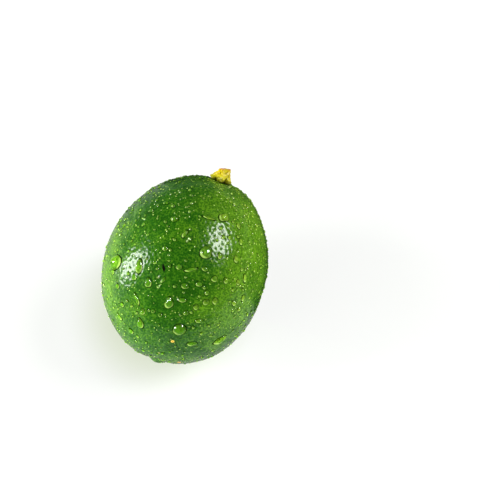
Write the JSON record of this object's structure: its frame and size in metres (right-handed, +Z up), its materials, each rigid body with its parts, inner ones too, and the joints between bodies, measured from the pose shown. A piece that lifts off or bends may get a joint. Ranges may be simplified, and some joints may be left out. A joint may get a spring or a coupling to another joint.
{
  "type": "lime",
  "caption": "Whole fresh green lime lying on its side, egg-shaped, with a low blunt nipple at one end and a dried yellow calyx button at the other.",
  "frame": {"origin": "middle of the fruit's footprint box, on the surface that it lies on", "axes": "+Z up, +Y along the ground towards the raised stem end, +X across the fruit"},
  "size_m": [0.057, 0.0668, 0.0582],
  "materials": {
    "peel": "waxy green citrus peel, satin gloss, dimpled by oil glands",
    "calyx": "dry woody calyx, yellow, matt to satin"
  },
  "bodies": {
    "root": {"lime_fruit": "peel", "calyx": "calyx"}
  },
  "joints": []
}
